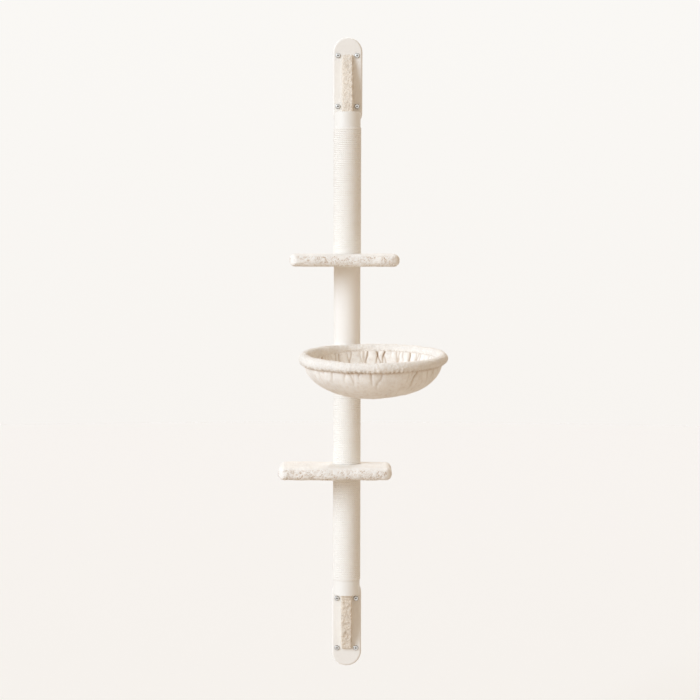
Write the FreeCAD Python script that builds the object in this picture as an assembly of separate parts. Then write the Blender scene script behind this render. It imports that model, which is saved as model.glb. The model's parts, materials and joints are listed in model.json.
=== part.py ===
import FreeCAD, Part
import math
import os

os.makedirs("parts", exist_ok=True)

# A wall mounted cat tree: a post in four sections between two wall plates,
# with two plush platforms and a round bowl hammock that swivels on the post.
# Millimetres. X runs along the wall, +Y into the wall, +Z up.
# The origin is the middle of the lower plate's screw pattern, on the wall.

# Wall plates
plate_width = 88.0
plate_outer_reach = 129.0
plate_inner_reach = 137.0
plate_thickness = 15.0
plate_edge_radius = 6.0
wall_screw_across = 56.5
wall_screw_along = 150.0
wall_screw_radius = 3.0
wall_screw_neck_radius = 3.2
wall_screw_behind = 45.0
wall_screw_head_radius = 7.2
wall_screw_head_height = 3.2
wall_screw_head_round = 2.0
recess_length = 6.5
recess_width = 1.5
recess_depth = 1.6
screw_hole_clearance = 0.3

# Gussets
gusset_board = 20.0
gusset_cover = 6.0
gusset_outer_reach = 70.0
gusset_tip_height = 3.0
gusset_set_back = 14.0
gusset_screw_places = (-15.0, 60.0)
gusset_edge_radius = 4.0

# Screws that are sunk into the back of a plate
board_screw_radius = 2.0
board_screw_head_radius = 4.0
board_screw_length = 32.0

# End hubs
mount_to_hub = 95.0
hub_beyond_tube = 3.5
hub_length = 45.0
hub_edge_radius = 1.5
hub_pad_width = 50.0
hub_bolt_radius = 4.0
hub_bolt_head_radius = 7.5
hub_bolt_depth = 22.0
hub_bolt_places = (10.0, 30.0)
hub_insert_wall = 2.5

# Post
hub_to_plate = 3.0
tube_radius = 35.5
tube_wall = 4.5
rope_thickness = 5.5
sleeve_thickness = 4.0
lower_tube_length = 320.0
middle_tube_length = 330.0
smooth_tube_length = 252.0
upper_tube_length = 381.0
glue_gap = 0.1
wrap_end_gap = 0.5

# Plugs, inserts and joining rods
plug_thickness = 28.0
rod_radius = 5.0
rod_grip = 20.0
rod_clearance = 0.05
rod_hole_clearance = 0.3
rod_chamfer = 1.0
hub_rod_depth = 28.0
insert_length = 22.0
insert_wall = 2.5
insert_flange_width = 4.5
insert_flange_thickness = 1.5

# Platforms
board_thickness = 18.0
board_corner_radius = 20.0
platform_plush = 9.0
platform_wall_gap = 2.0
platform_depth = 182.0
upper_platform_width = 301.0
upper_platform_offset = -8.0
lower_platform_width = 313.0
lower_platform_offset = -34.0
plush_edge_radius = 11.0
plush_hole_clearance = 0.5

# Bracket board of the bowl
bracket_half_width = 60.0
bracket_side_start = 5.0
bracket_front_lip = 1.0
bracket_back_lip = 6.0
bracket_corner_radius = 8.0
bracket_plush = 8.0
bracket_edge_radius = 5.0
swivel_clearance = 0.6

# Bowl
bowl_swivel = 17.0
rim_to_bracket = 2.0
bowl_tilt = 4.65
bowl_side_lean = 2.0
ring_radius = 196.0
ring_wire_radius = 4.0
tongue_width = 60.0
tongue_thickness = 3.0
tongue_back = 32.0
tongue_screw_offset = 20.0
tongue_screw_length = 14.0
rim_roll_radius = 14.0
rim_bore_clearance = 0.4
bowl_mouth_inset = 6.0
bowl_depth = 112.0
bowl_roundness = 2.2
bowl_fabric = 5.0
bowl_top_drop = 6.0
seam_gap = 0.3
gather_count = 28
gather_height = 3.0
gather_fade = 0.72
gather_levels = (0, 0.18, 0.36, 0.54, 0.7, 0.83, 0.93, 0.98)

# Radii and reaches that follow from the sizes above
rope_radius = tube_radius + rope_thickness
sleeve_radius = tube_radius + sleeve_thickness
hub_radius = tube_radius + hub_beyond_tube
post_to_wall = plate_thickness + hub_to_plate + hub_radius
hub_pad_reach = post_to_wall - plate_thickness
plug_radius = tube_radius - tube_wall - glue_gap
insert_radius = rod_radius + insert_wall
bracket_front = rope_radius + bracket_front_lip
bracket_back_radius = rope_radius + bracket_back_lip
ring_to_post = bracket_front + bracket_plush + rim_to_bracket + rim_roll_radius
bowl_reach = ring_to_post + ring_radius
bowl_mouth_radius = ring_radius - bowl_mouth_inset

# Levels of the post, from the lower plate up
lower_shoulder = mount_to_hub + hub_length
lower_platform_level = lower_shoulder + lower_tube_length
middle_tube_level = lower_platform_level + board_thickness
bracket_level = middle_tube_level + middle_tube_length
tongue_level = bracket_level + board_thickness
smooth_tube_level = tongue_level + tongue_thickness
upper_platform_level = smooth_tube_level + smooth_tube_length
upper_tube_level = upper_platform_level + board_thickness
upper_shoulder = upper_tube_level + upper_tube_length
upper_mount_level = upper_shoulder + hub_length + mount_to_hub

up = FreeCAD.Vector(0, 0, 1)
back = FreeCAD.Vector(0, 1, 0)
origin = FreeCAD.Vector(0, 0, 0)
post_foot = FreeCAD.Vector(0, -post_to_wall, 0)
same_place = 0.0001


def at(x, y, z):
    return FreeCAD.Vector(x, y, z)


def on_post(z):
    return at(0, -post_to_wall, z)


def upright(radius, z, height):
    """A cylinder about the post's axis."""
    return Part.makeCylinder(radius, height, on_post(z), up)


def ring_shape(outer, inner, z, height):
    return upright(outer, z, height).cut(upright(inner, z - 1, height + 2))


def polygon(points):
    return Part.Face(Part.makePolygon(points + [points[0]]))


def upper_copy(shape):
    """The lower bracket's piece, turned over for the upper bracket."""
    turned = shape.mirror(origin, up)
    turned.translate(at(0, 0, upper_mount_level))
    return turned


def write(name, shapes):
    solids = [solid for shape in shapes for solid in shape.Solids]
    shape = solids[0] if len(solids) == 1 else Part.makeCompound(solids)
    if not shape.isValid():
        raise ValueError(name + " isn't a valid shape")
    shape.exportStep("parts/" + name + ".step")
    print(name, len(solids), "solids", round(sum(solid.Volume for solid in solids) / 1000, 2), "cm3")


def edges_at(shape, axis, level):
    """The edges that lie in the plane where the given axis is at this level."""
    low = {"x": "XMin", "y": "YMin", "z": "ZMin"}[axis]
    high = {"x": "XMax", "y": "YMax", "z": "ZMax"}[axis]
    return [edge for edge in shape.Edges
            if abs(getattr(edge.BoundBox, low) - level) < same_place
            and abs(getattr(edge.BoundBox, high) - level) < same_place]


# Fasteners

def sunk_screw(point, direction, radius, head_radius, length):
    """A countersunk screw: its flat head at the point, its shank along the direction."""
    cone_depth = head_radius - radius
    cone = Part.makeCone(head_radius, radius, cone_depth, point, direction)
    shank = Part.makeCylinder(radius, length, point, direction)
    return cone.fuse(shank).removeSplitter()


def sunk_hole(point, direction, radius, head_radius, length):
    gap = screw_hole_clearance
    cone_depth = head_radius - radius
    cone = Part.makeCone(head_radius + gap, radius + gap, cone_depth, point, direction)
    return cone.fuse(Part.makeCylinder(radius + gap, length, point, direction))


def wall_screw_points():
    return [at(side * wall_screw_across / 2, -plate_thickness, end * wall_screw_along / 2)
            for side in (-1, 1) for end in (-1, 1)]


def wall_screw(point):
    """A pan head screw with a cross recess: a plain neck in its plate, its thread behind it."""
    neck = Part.makeCylinder(wall_screw_neck_radius, plate_thickness, point, back)
    thread_start = at(point.x, 0, point.z)
    shank = neck.fuse(Part.makeCylinder(wall_screw_radius, wall_screw_behind, thread_start, back))
    head = Part.makeCylinder(wall_screw_head_radius, wall_screw_head_height, point, -back)
    front = point.y - wall_screw_head_height
    head = head.makeFillet(wall_screw_head_round, edges_at(head, "y", front))
    screw = shank.fuse(head)
    for wide, tall in ((recess_length, recess_width), (recess_width, recess_length)):
        corner = at(point.x - wide / 2, front, point.z - tall / 2)
        screw = screw.cut(Part.makeBox(wide, recess_depth, tall, corner))
    return screw


def gusset_screw_points():
    return [at(0, 0, z) for z in gusset_screw_places]


def hub_bolt_points():
    return [at(0, 0, mount_to_hub + z) for z in hub_bolt_places]


def gusset_screws():
    return [sunk_screw(point, -back, board_screw_radius, board_screw_head_radius, board_screw_length)
            for point in gusset_screw_points()]


def hub_bolts():
    length = plate_thickness + hub_bolt_depth
    return [sunk_screw(point, -back, hub_bolt_radius, hub_bolt_head_radius, length)
            for point in hub_bolt_points()]


def hub_inserts():
    """The threaded sleeves in the hub that take its bolts."""
    outer = hub_bolt_radius + hub_insert_wall
    inner = hub_bolt_radius + rod_clearance
    inserts = []
    for point in hub_bolt_points():
        start = at(point.x, -plate_thickness, point.z)
        sleeve = Part.makeCylinder(outer, hub_bolt_depth, start, -back)
        inserts.append(sleeve.cut(Part.makeCylinder(inner, hub_bolt_depth, start, -back)))
    return inserts


# End brackets

def wall_plate():
    half = plate_width / 2
    low = half - plate_outer_reach
    high = plate_inner_reach - half
    left = Part.LineSegment(at(-half, 0, high), at(-half, 0, low)).toShape()
    right = Part.LineSegment(at(half, 0, low), at(half, 0, high)).toShape()
    bottom = Part.Arc(at(-half, 0, low), at(0, 0, -plate_outer_reach), at(half, 0, low)).toShape()
    top = Part.Arc(at(half, 0, high), at(0, 0, plate_inner_reach), at(-half, 0, high)).toShape()
    plate = Part.Face(Part.Wire([left, bottom, right, top])).extrude(at(0, -plate_thickness, 0))
    plate = plate.makeFillet(plate_edge_radius, edges_at(plate, "y", -plate_thickness))
    for point in wall_screw_points():
        radius = wall_screw_neck_radius + screw_hole_clearance
        plate = plate.cut(Part.makeCylinder(radius, plate_thickness, point, back))
    for point in gusset_screw_points():
        plate = plate.cut(sunk_hole(point, -back, board_screw_radius, board_screw_head_radius,
                                    plate_thickness))
    for point in hub_bolt_points():
        plate = plate.cut(sunk_hole(point, -back, hub_bolt_radius, hub_bolt_head_radius,
                                    plate_thickness))
    return plate


def gusset_prism(half_width, grow):
    """The wedge from the plate's outer end to the hub, larger by the thickness of its cover."""
    foot = -plate_thickness
    core_front = -(post_to_wall + hub_radius - gusset_set_back)
    slope = math.atan2(foot - gusset_tip_height - core_front, mount_to_hub + gusset_outer_reach)
    hub_front = core_front - grow / math.cos(slope)
    tip_front = foot - gusset_tip_height - grow
    tip = -gusset_outer_reach - grow
    side = polygon([at(-half_width, foot, mount_to_hub), at(-half_width, hub_front, mount_to_hub),
                    at(-half_width, tip_front, tip), at(-half_width, foot, tip)])
    return side.extrude(at(2 * half_width, 0, 0))


def gusset_core():
    core = gusset_prism(gusset_board / 2, 0)
    for point in gusset_screw_points():
        core = core.cut(Part.makeCylinder(board_screw_radius, board_screw_length, point, -back))
    return core


def gusset_wrap():
    outer = gusset_prism(gusset_board / 2 + gusset_cover, gusset_cover)
    sloping = [edge for edge in outer.Edges
               if min(edge.BoundBox.YLength, edge.BoundBox.ZLength) > gusset_edge_radius]
    outer = outer.makeFillet(gusset_edge_radius, sloping)
    return outer.cut(gusset_prism(gusset_board / 2, 0))


def end_hub():
    """The smooth collar at the end of the post, with a flat pad against the plate."""
    hub = upright(hub_radius, mount_to_hub, hub_length)
    hub = hub.makeFillet(hub_edge_radius, edges_at(hub, "z", mount_to_hub))
    pad_corner = at(-hub_pad_width / 2, -post_to_wall, mount_to_hub)
    hub = hub.fuse(Part.makeBox(hub_pad_width, hub_pad_reach, hub_length, pad_corner))
    hub = hub.cut(upright(rod_radius + rod_clearance, lower_shoulder - hub_rod_depth, hub_rod_depth))
    for point in hub_bolt_points():
        start = at(point.x, -plate_thickness, point.z)
        hub = hub.cut(Part.makeCylinder(hub_bolt_radius + hub_insert_wall, hub_bolt_depth, start, -back))
    return hub


# Post

def tube(z, length):
    return ring_shape(tube_radius, tube_radius - tube_wall, z, length)


def wrap(thickness, z, length):
    """What is wound or drawn over a tube, short of both ends."""
    inner = tube_radius + glue_gap
    return ring_shape(tube_radius + thickness, inner, z + wrap_end_gap, length - 2 * wrap_end_gap)


def insert(z, points_up):
    """A threaded insert with its flange flush with the face of the plug at this level."""
    flange_start = z - insert_flange_thickness if points_up else z
    sleeve_start = z - insert_length if points_up else z
    sleeve = upright(insert_radius, sleeve_start, insert_length)
    return sleeve.fuse(upright(insert_radius + insert_flange_width, flange_start, insert_flange_thickness))


def plug_and_insert(z, points_up):
    """The plug in one end of a tube and its insert: the end's face is at this level."""
    start = z - plug_thickness if points_up else z
    solid_insert = insert(z, points_up)
    plug = upright(plug_radius, start, plug_thickness)
    bore = upright(rod_radius + rod_clearance, start, plug_thickness)
    return plug.cut(solid_insert).cut(bore), solid_insert.cut(bore)


def joining_rod(low, high):
    rod = upright(rod_radius, low, high - low)
    ends = edges_at(rod, "z", low) + edges_at(rod, "z", high)
    return rod.makeChamfer(rod_chamfer, ends)


# Platforms

def rounded_slab(width, depth, height, corner_radius, corner):
    slab = Part.makeBox(width, depth, height, corner)
    upright_edges = [edge for edge in slab.Edges if edge.BoundBox.ZLength > height / 2]
    return slab.makeFillet(corner_radius, upright_edges)


def platform_slab(width, offset, level, grow):
    """A platform's board, or its cover's outside when it grows by the plush."""
    rear = -platform_wall_gap - platform_plush + grow
    corner = at(offset - width / 2 - grow, rear - platform_depth - 2 * grow, level - grow)
    return rounded_slab(width + 2 * grow, platform_depth + 2 * grow, board_thickness + 2 * grow,
                        board_corner_radius + grow, corner)


def platform_board(width, offset, level):
    hole = upright(rod_radius + rod_hole_clearance, level, board_thickness)
    return platform_slab(width, offset, level, 0).cut(hole)


def platform_cover(width, offset, level, radius_below, radius_above):
    """The plush over a platform, with a hole on each side where the post's sections stand."""
    outer = platform_slab(width, offset, level, platform_plush)
    top = level + board_thickness + platform_plush
    rims = edges_at(outer, "z", level - platform_plush) + edges_at(outer, "z", top)
    cover = outer.makeFillet(plush_edge_radius, rims)
    cover = cover.cut(platform_slab(width, offset, level, 0))
    below = upright(radius_below + plush_hole_clearance, level - platform_plush, platform_plush)
    above = upright(radius_above + plush_hole_clearance, level + board_thickness, platform_plush)
    return cover.cut(below).cut(above)


# Bowl. Its pieces are made pointing straight out from the wall, then swivelled.

def swivelled(shape):
    turned = shape.copy()
    turned.rotate(post_foot, up, bowl_swivel)
    return turned


def bracket_outline(grow, level):
    """A flat front, straight sides and a back drawn in to an arc that clears the wall."""
    half = bracket_half_width + grow
    front = -post_to_wall - bracket_front - grow
    start = -post_to_wall - bracket_side_start
    radius = bracket_back_radius + grow
    reach = math.hypot(half, bracket_side_start)
    turn = math.acos(radius / reach) - math.atan2(bracket_side_start, half)
    touch_x = radius * math.cos(turn)
    touch_y = -post_to_wall + radius * math.sin(turn)
    lines = [at(-touch_x, touch_y, level), at(-half, start, level), at(-half, front, level),
             at(half, front, level), at(half, start, level), at(touch_x, touch_y, level)]
    edges = [Part.LineSegment(first, second).toShape() for first, second in zip(lines, lines[1:])]
    edges.append(Part.Arc(lines[-1], at(0, -post_to_wall + radius, level), lines[0]).toShape())
    return Part.Face(Part.Wire(edges))


def bracket_slab(grow, level, height):
    slab = bracket_outline(grow, level).extrude(at(0, 0, height))
    front = -post_to_wall - bracket_front - grow
    corners = [edge for edge in slab.Edges
               if abs(edge.BoundBox.YMax - front) < same_place and edge.BoundBox.ZLength > height / 2]
    return slab.makeFillet(bracket_corner_radius + grow, corners)


def tongue_screw_points():
    return [at(side * tongue_screw_offset, -post_to_wall, smooth_tube_level) for side in (-1, 1)]


def bracket_board():
    board = bracket_slab(0, bracket_level, board_thickness)
    board = board.cut(upright(rod_radius + rod_hole_clearance, bracket_level, board_thickness))
    for point in tongue_screw_points():
        board = board.cut(Part.makeCylinder(board_screw_radius, tongue_screw_length, point, -up))
    return board


def tongue(gap):
    """The flat bar welded to the ring, larger by the gap where it passes through soft pieces."""
    width = tongue_width + 2 * gap
    front = -post_to_wall - (bowl_reach - ring_radius)
    rear = -post_to_wall + tongue_back + gap
    corner = at(-width / 2, front, tongue_level - gap)
    return Part.makeBox(width, rear - front, tongue_thickness + 2 * gap, corner)


def bracket_cover():
    low = bracket_level - bracket_plush
    height = board_thickness + tongue_thickness + 2 * bracket_plush
    cover = bracket_slab(bracket_plush, low, height)
    rims = edges_at(cover, "z", low) + edges_at(cover, "z", low + height)
    cover = cover.makeFillet(bracket_edge_radius, rims)
    cover = cover.cut(bracket_slab(0, bracket_level, board_thickness)).cut(tongue(seam_gap))
    below = upright(rope_radius + swivel_clearance, low, bracket_plush)
    above = upright(sleeve_radius + swivel_clearance, tongue_level, height)
    return cover.cut(below).cut(above)


def in_bowl(shape):
    """From the ring's own level frame to its place, leaning and tilted as it hangs."""
    placed = shape.copy()
    placed.rotate(origin, back, -bowl_side_lean)
    placed.rotate(origin, at(1, 0, 0), bowl_tilt)
    drop = ring_radius * math.sin(math.radians(bowl_tilt))
    placed.translate(at(0, -post_to_wall - bowl_reach, smooth_tube_level - drop))
    return placed


def bowl_ring():
    ring = in_bowl(Part.makeTorus(ring_radius, ring_wire_radius))
    ring = ring.fuse(tongue(0))
    ring = ring.cut(upright(rod_radius + rod_hole_clearance, tongue_level, tongue_thickness))
    for point in tongue_screw_points():
        ring = ring.cut(sunk_hole(point, -up, board_screw_radius, board_screw_head_radius,
                                  tongue_thickness))
    return ring


def tongue_screws():
    return [sunk_screw(point, -up, board_screw_radius, board_screw_head_radius, tongue_screw_length)
            for point in tongue_screw_points()]


def rim_roll():
    roll = Part.makeTorus(ring_radius, rim_roll_radius)
    roll = roll.cut(Part.makeTorus(ring_radius, ring_wire_radius + rim_bore_clearance))
    return in_bowl(roll).cut(tongue(seam_gap))


def bowl_section(drop):
    """The bowl's outer radius at this drop below the ring."""
    share = min(drop / bowl_depth, 1.0)
    return bowl_mouth_radius * (1 - share ** bowl_roundness) ** (1 / bowl_roundness)


def gathered_wire(drop, radius, height):
    """A circle of short arcs that swell out and in by turns, as cloth gathers under its hem."""
    arcs = []
    half_step = math.pi / gather_count
    for index in range(2 * gather_count):
        start, middle, end = ((index + share) * half_step for share in (-0.5, 0, 0.5))
        crest = radius + height * (1 if index % 2 else -1)
        points = [at(reach * math.cos(turn), reach * math.sin(turn), -drop)
                  for reach, turn in ((radius, start), (crest, middle), (radius, end))]
        arcs.append(Part.Arc(*points).toShape())
    return Part.Wire(arcs)


def bowl_cloth():
    """The hanging bowl: gathered outside, smooth inside, its hem under the rim roll."""
    drops = [bowl_top_drop + (bowl_depth - bowl_top_drop) * share for share in gather_levels]
    wires = []
    for drop in drops:
        fade = max(0.0, 1 - drop / (bowl_depth * gather_fade))
        wires.append(gathered_wire(drop, bowl_section(drop), gather_height * fade))
    outer = Part.makeLoft(wires, True, True)
    mouth = bowl_section(bowl_top_drop) - bowl_fabric
    profile = [at(0, 0, 0), at(mouth, 0, 0)]
    profile += [at(bowl_section(drop) - bowl_fabric, 0, -drop * (1 - bowl_fabric / bowl_depth))
                for drop in drops]
    profile.append(at(0, 0, profile[-1].z))
    hollow = polygon(profile).revolve(origin, up, 360)
    seam = Part.makeTorus(ring_radius, rim_roll_radius + seam_gap)
    return in_bowl(outer.cut(hollow).cut(seam))


lower_bracket = {
    "wall_plate": [wall_plate()],
    "wall_screws": [wall_screw(point) for point in wall_screw_points()],
    "gusset_core": [gusset_core()],
    "gusset_cover": [gusset_wrap()],
    "gusset_screws": gusset_screws(),
    "end_hub": [end_hub()],
    "hub_bolts": hub_bolts(),
    "hub_inserts": hub_inserts(),
}
for name, shapes in lower_bracket.items():
    write("lower_" + name, shapes)
    write("upper_" + name, [upper_copy(shape) for shape in shapes])

sections = {
    "lower": (lower_shoulder, lower_tube_length, rope_thickness, "rope_wrap"),
    "middle": (middle_tube_level, middle_tube_length, rope_thickness, "rope_wrap"),
    "smooth": (smooth_tube_level, smooth_tube_length, sleeve_thickness, "sleeve"),
    "upper": (upper_tube_level, upper_tube_length, rope_thickness, "rope_wrap"),
}
for name, (level, length, thickness, wrap_name) in sections.items():
    write(name + "_tube", [tube(level, length)])
    write(name + "_" + wrap_name, [wrap(thickness, level, length)])
    ends = [plug_and_insert(level, False), plug_and_insert(level + length, True)]
    write(name + "_tube_plugs", [plug for plug, fitting in ends])
    write(name + "_tube_inserts", [fitting for plug, fitting in ends])

rods = {
    "lower_hub_rod": (lower_shoulder - hub_rod_depth, lower_shoulder + rod_grip),
    "lower_platform_rod": (lower_platform_level - rod_grip, middle_tube_level + rod_grip),
    "bracket_rod": (bracket_level - rod_grip, smooth_tube_level + rod_grip),
    "upper_platform_rod": (upper_platform_level - rod_grip, upper_tube_level + rod_grip),
    "upper_hub_rod": (upper_shoulder - rod_grip, upper_shoulder + hub_rod_depth),
}
for name, (low, high) in rods.items():
    write(name, [joining_rod(low, high)])

write("lower_platform_board",
      [platform_board(lower_platform_width, lower_platform_offset, lower_platform_level)])
write("lower_platform_cover",
      [platform_cover(lower_platform_width, lower_platform_offset, lower_platform_level,
                      rope_radius, rope_radius)])
write("upper_platform_board",
      [platform_board(upper_platform_width, upper_platform_offset, upper_platform_level)])
write("upper_platform_cover",
      [platform_cover(upper_platform_width, upper_platform_offset, upper_platform_level,
                      sleeve_radius, rope_radius)])

write("bracket_board", [swivelled(bracket_board())])
write("bracket_board_cover", [swivelled(bracket_cover())])
write("tongue_screws", [swivelled(screw) for screw in tongue_screws()])
write("bowl_ring", [swivelled(bowl_ring())])
write("rim_roll", [swivelled(rim_roll())])
write("bowl_fabric", [swivelled(bowl_cloth())])
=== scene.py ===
# A wall mounted cat tree: a post in four sections, two plush platforms, a bowl hammock on a swivel bracket
import json
import math
import bmesh
import bpy
from mathutils import Matrix, Vector, noise

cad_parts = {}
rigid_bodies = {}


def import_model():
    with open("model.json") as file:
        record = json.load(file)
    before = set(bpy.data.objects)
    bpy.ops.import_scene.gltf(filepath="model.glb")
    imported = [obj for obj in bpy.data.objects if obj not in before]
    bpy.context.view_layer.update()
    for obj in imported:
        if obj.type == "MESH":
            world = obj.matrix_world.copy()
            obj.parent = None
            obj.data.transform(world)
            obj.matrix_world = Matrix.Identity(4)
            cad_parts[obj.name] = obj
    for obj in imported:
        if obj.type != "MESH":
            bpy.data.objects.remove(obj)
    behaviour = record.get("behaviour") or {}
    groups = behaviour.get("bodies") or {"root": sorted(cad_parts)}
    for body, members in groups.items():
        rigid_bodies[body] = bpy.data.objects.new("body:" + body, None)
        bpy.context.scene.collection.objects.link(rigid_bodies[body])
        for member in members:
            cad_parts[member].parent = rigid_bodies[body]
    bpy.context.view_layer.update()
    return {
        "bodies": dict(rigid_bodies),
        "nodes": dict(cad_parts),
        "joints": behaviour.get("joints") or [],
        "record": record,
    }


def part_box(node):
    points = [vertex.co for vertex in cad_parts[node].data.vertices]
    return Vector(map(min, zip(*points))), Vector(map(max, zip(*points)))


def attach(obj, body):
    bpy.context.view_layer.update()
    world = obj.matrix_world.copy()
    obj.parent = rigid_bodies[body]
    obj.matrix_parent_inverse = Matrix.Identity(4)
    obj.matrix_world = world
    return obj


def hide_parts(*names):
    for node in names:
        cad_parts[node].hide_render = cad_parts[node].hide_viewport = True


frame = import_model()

nodes = frame["nodes"]
mm = 0.001
postAxis = Vector((0, -0.057, 0))
noise.seed_set(7)  # the vector noise follows the clock until it has a seed
print("frame loaded:", len(nodes), "nodes")


# Node helpers

def addNode(tree, kind, inputs=None, **settings):
    made = tree.nodes.new(kind)
    for name, value in settings.items():
        setattr(made, name, value)
    for name, value in (inputs or {}).items():
        if isinstance(value, bpy.types.NodeSocket):
            tree.links.new(value, made.inputs[name])
        else:
            made.inputs[name].default_value = value
    return made


def mixColour(tree, factor, first, second, blend="MIX"):
    made = addNode(tree, "ShaderNodeMix", data_type="RGBA", blend_type=blend)
    for index, value in ((0, factor), (6, first), (7, second)):
        if isinstance(value, bpy.types.NodeSocket):
            tree.links.new(value, made.inputs[index])
        else:
            made.inputs[index].default_value = (*value, 1) if isinstance(value, tuple) else value
    return made.outputs[2]


def calculate(tree, operation, first, second=0.0, clamp=False):
    made = addNode(tree, "ShaderNodeMath", {0: first, 1: second}, operation=operation, use_clamp=clamp)
    return made.outputs[0]


def spread(tree, value, low, high, toLow=0.0, toHigh=1.0):
    made = addNode(tree, "ShaderNodeMapRange", {0: value, 1: low, 2: high, 3: toLow, 4: toHigh})
    return made.outputs[0]


def vectorMath(tree, operation, first, second=None, scale=None):
    made = addNode(tree, "ShaderNodeVectorMath", {0: first}, operation=operation)
    for name, value in ((1, second), ("Scale", scale)):
        if isinstance(value, bpy.types.NodeSocket):
            tree.links.new(value, made.inputs[name])
        elif value is not None:
            made.inputs[name].default_value = value
    return made.outputs[0]


def cloudNoise(tree, place, scale, detail=2.0, rough=0.5):
    return addNode(tree, "ShaderNodeTexNoise", {"Vector": place, "Scale": scale, "Detail": detail,
                                                "Roughness": rough})


def linked(name, data):
    made = bpy.data.objects.new(name, data)
    bpy.context.collection.objects.link(made)
    return made


# Camera, light and floor

view = {
    "place": (0.009, -5.977, 1.1197),
    "tiltDown": 2.862,  # degrees
    "roll": 0.12,
    "lens": 102.857,
    "sensor": 36,
}
light = {
    "keyFrom": (-50, 23),  # degrees left of the camera, degrees up
    "keyColour": (0.70, 0.835, 1.0),
    "keyStrength": 2.45,
    "keySoftness": 38,  # degrees across
    "backFrom": (176, 50),
    "backColour": (0.97, 0.97, 1.0),
    "backStrength": 0.9,
    "backSoftness": 30,
    "room": (0.575, 0.48, 0.385),
    "paperLow": (0.922, 0.888, 0.85),
    "paperHigh": (0.956, 0.938, 0.91),
    "paperSpan": (-0.22, 0.123),  # how far up or down the view looks at each
}
floorLook = {
    "level": -0.6,
    "radius": 14.0,
    "near": (0.917, 0.931, 0.923),
    "far": (0.930, 0.944, 0.945),
    "bounced": (0.62, 0.55, 0.47),
    "viewAway": 6.0,
    "fade": (0.0526, 0.130),  # one over the distance, at the far and the near colour
}


def makeCamera():
    data = bpy.data.cameras.new("camera")
    data.lens, data.sensor_width = view["lens"], view["sensor"]
    camera = linked("camera", data)
    turn = Matrix.Rotation(math.radians(90 - view["tiltDown"]), 4, "X")
    roll = Matrix.Rotation(math.radians(view["roll"]), 4, "Z")
    camera.matrix_world = Matrix.Translation(view["place"]) @ turn @ roll
    bpy.context.scene.camera = camera


def makeSun(name, fromWhere, colour, strength, softness):
    side, rise = (math.radians(angle) for angle in fromWhere)
    toLight = Vector((math.sin(side) * math.cos(rise), -math.cos(side) * math.cos(rise), math.sin(rise)))
    data = bpy.data.lights.new(name, "SUN")
    data.energy, data.color, data.angle = strength, colour, math.radians(softness)
    lamp = linked(name, data)
    lamp.rotation_mode = "QUATERNION"
    lamp.rotation_quaternion = toLight.to_track_quat("Z", "Y")


def seenDirectly(tree):
    # 1 for what the camera, a reflection or a clear piece sees, 0 for what only gives light
    path = addNode(tree, "ShaderNodeLightPath")
    first = calculate(tree, "MAXIMUM", path.outputs["Is Camera Ray"], path.outputs["Is Glossy Ray"])
    return calculate(tree, "MAXIMUM", first, path.outputs["Is Transmission Ray"])


def makeWorld():
    world = bpy.data.worlds.new("paleRoom")
    world.use_nodes = True
    tree = world.node_tree
    tree.nodes.clear()
    where = addNode(tree, "ShaderNodeTexCoord")
    parts = addNode(tree, "ShaderNodeSeparateXYZ", {0: where.outputs["Generated"]})
    rise = spread(tree, parts.outputs["Z"], *light["paperSpan"])
    paper = mixColour(tree, rise, light["paperLow"], light["paperHigh"])
    shown = addNode(tree, "ShaderNodeBackground", {"Color": paper})
    given = addNode(tree, "ShaderNodeBackground", {"Color": (*light["room"], 1)})
    both = addNode(tree, "ShaderNodeMixShader", {0: seenDirectly(tree), 1: given.outputs[0],
                                                 2: shown.outputs[0]})
    addNode(tree, "ShaderNodeOutputWorld", {"Surface": both.outputs[0]})
    bpy.context.scene.world = world
    bpy.context.scene.view_settings.view_transform = "Standard"


def makeFloor():
    bm = bmesh.new()
    bmesh.ops.create_circle(bm, cap_ends=True, radius=floorLook["radius"], segments=96)
    bmesh.ops.translate(bm, verts=bm.verts, vec=(0, 0, floorLook["level"]))
    mesh = bpy.data.meshes.new("floor")
    bm.to_mesh(mesh)
    bm.free()
    floor = linked("floor", mesh)
    finish = bpy.data.materials.new("floorPaint")
    finish.use_nodes = True
    tree = finish.node_tree
    shader = tree.nodes["Principled BSDF"]
    shader.inputs["Roughness"].default_value = 0.9
    shader.inputs["Specular IOR Level"].default_value = 0.1
    place = addNode(tree, "ShaderNodeTexCoord").outputs["Object"]
    flat = vectorMath(tree, "MULTIPLY", place, (1.0, 1.0, 0.0))
    away = addNode(tree, "ShaderNodeVectorMath", {0: flat}, operation="LENGTH").outputs["Value"]
    nearness = calculate(tree, "DIVIDE", 1.0, calculate(tree, "ADD", away, floorLook["viewAway"]))
    seen = mixColour(tree, spread(tree, nearness, *floorLook["fade"]), floorLook["far"], floorLook["near"])
    colour = mixColour(tree, seenDirectly(tree), floorLook["bounced"], seen)
    tree.links.new(colour, shader.inputs["Base Color"])
    mesh.materials.append(finish)


makeCamera()
makeSun("keyLight", light["keyFrom"], light["keyColour"], light["keyStrength"], light["keySoftness"])
makeSun("backLight", light["backFrom"], light["backColour"], light["backStrength"], light["backSoftness"])
makeWorld()
makeFloor()
print("camera, light and floor made")


# Shared effects, each one node group

def newGroup(name, inputs, outputs):
    group = bpy.data.node_groups.new(name, "ShaderNodeTree")
    kinds = {"vector": "NodeSocketVector", "value": "NodeSocketFloat", "colour": "NodeSocketColor"}
    for label, kind, start in inputs:
        socket = group.interface.new_socket(label, in_out="INPUT", socket_type=kinds[kind])
        if kind != "vector":
            socket.default_value = start
    for label, kind in outputs:
        group.interface.new_socket(label, in_out="OUTPUT", socket_type=kinds[kind])
    return group, group.nodes.new("NodeGroupInput").outputs, group.nodes.new("NodeGroupOutput").inputs


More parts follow.
